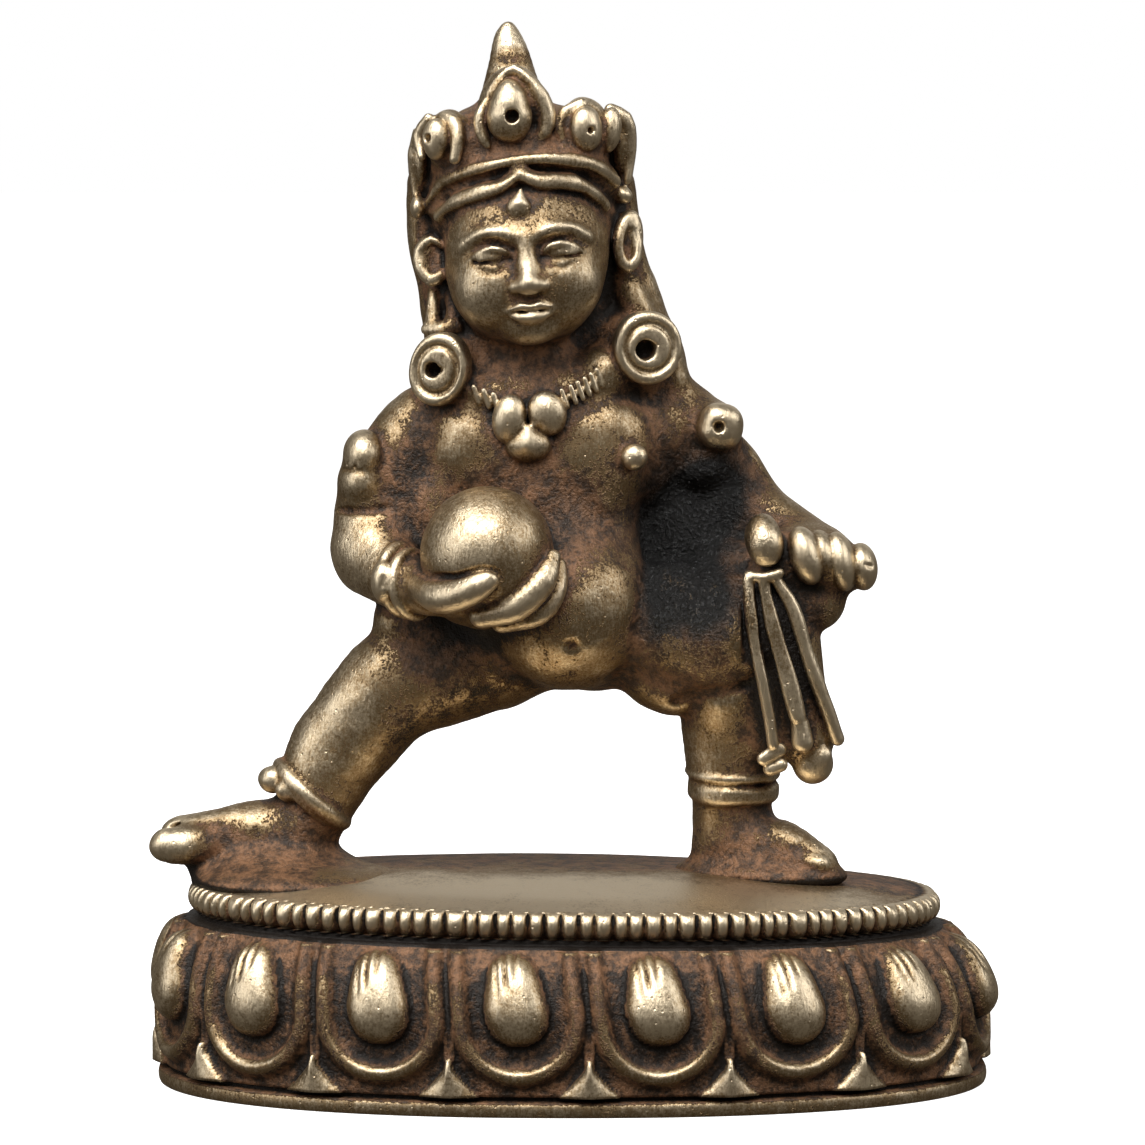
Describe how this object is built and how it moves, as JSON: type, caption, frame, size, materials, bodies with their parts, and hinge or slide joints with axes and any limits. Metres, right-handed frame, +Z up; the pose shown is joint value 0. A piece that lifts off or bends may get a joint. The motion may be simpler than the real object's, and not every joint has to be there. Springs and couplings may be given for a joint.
{
  "type": "cast brass statue",
  "caption": "Cast brass figure of a crowned deity striding on an oval lotus foot, holding a round vessel and a hanging mongoose.",
  "frame": {"origin": "middle of the flat underside of the lotus foot", "axes": "+X to the viewer's right along the lotus foot's length, +Y away from the viewer, +Z up"},
  "size_m": [0.0499, 0.0322, 0.0614],
  "materials": {
    "patinated_brass": "worn satin brass with a dark brown patina in the hollows"
  },
  "bodies": {
    "root": {"jambhala_statue": "patinated_brass"}
  },
  "joints": []
}
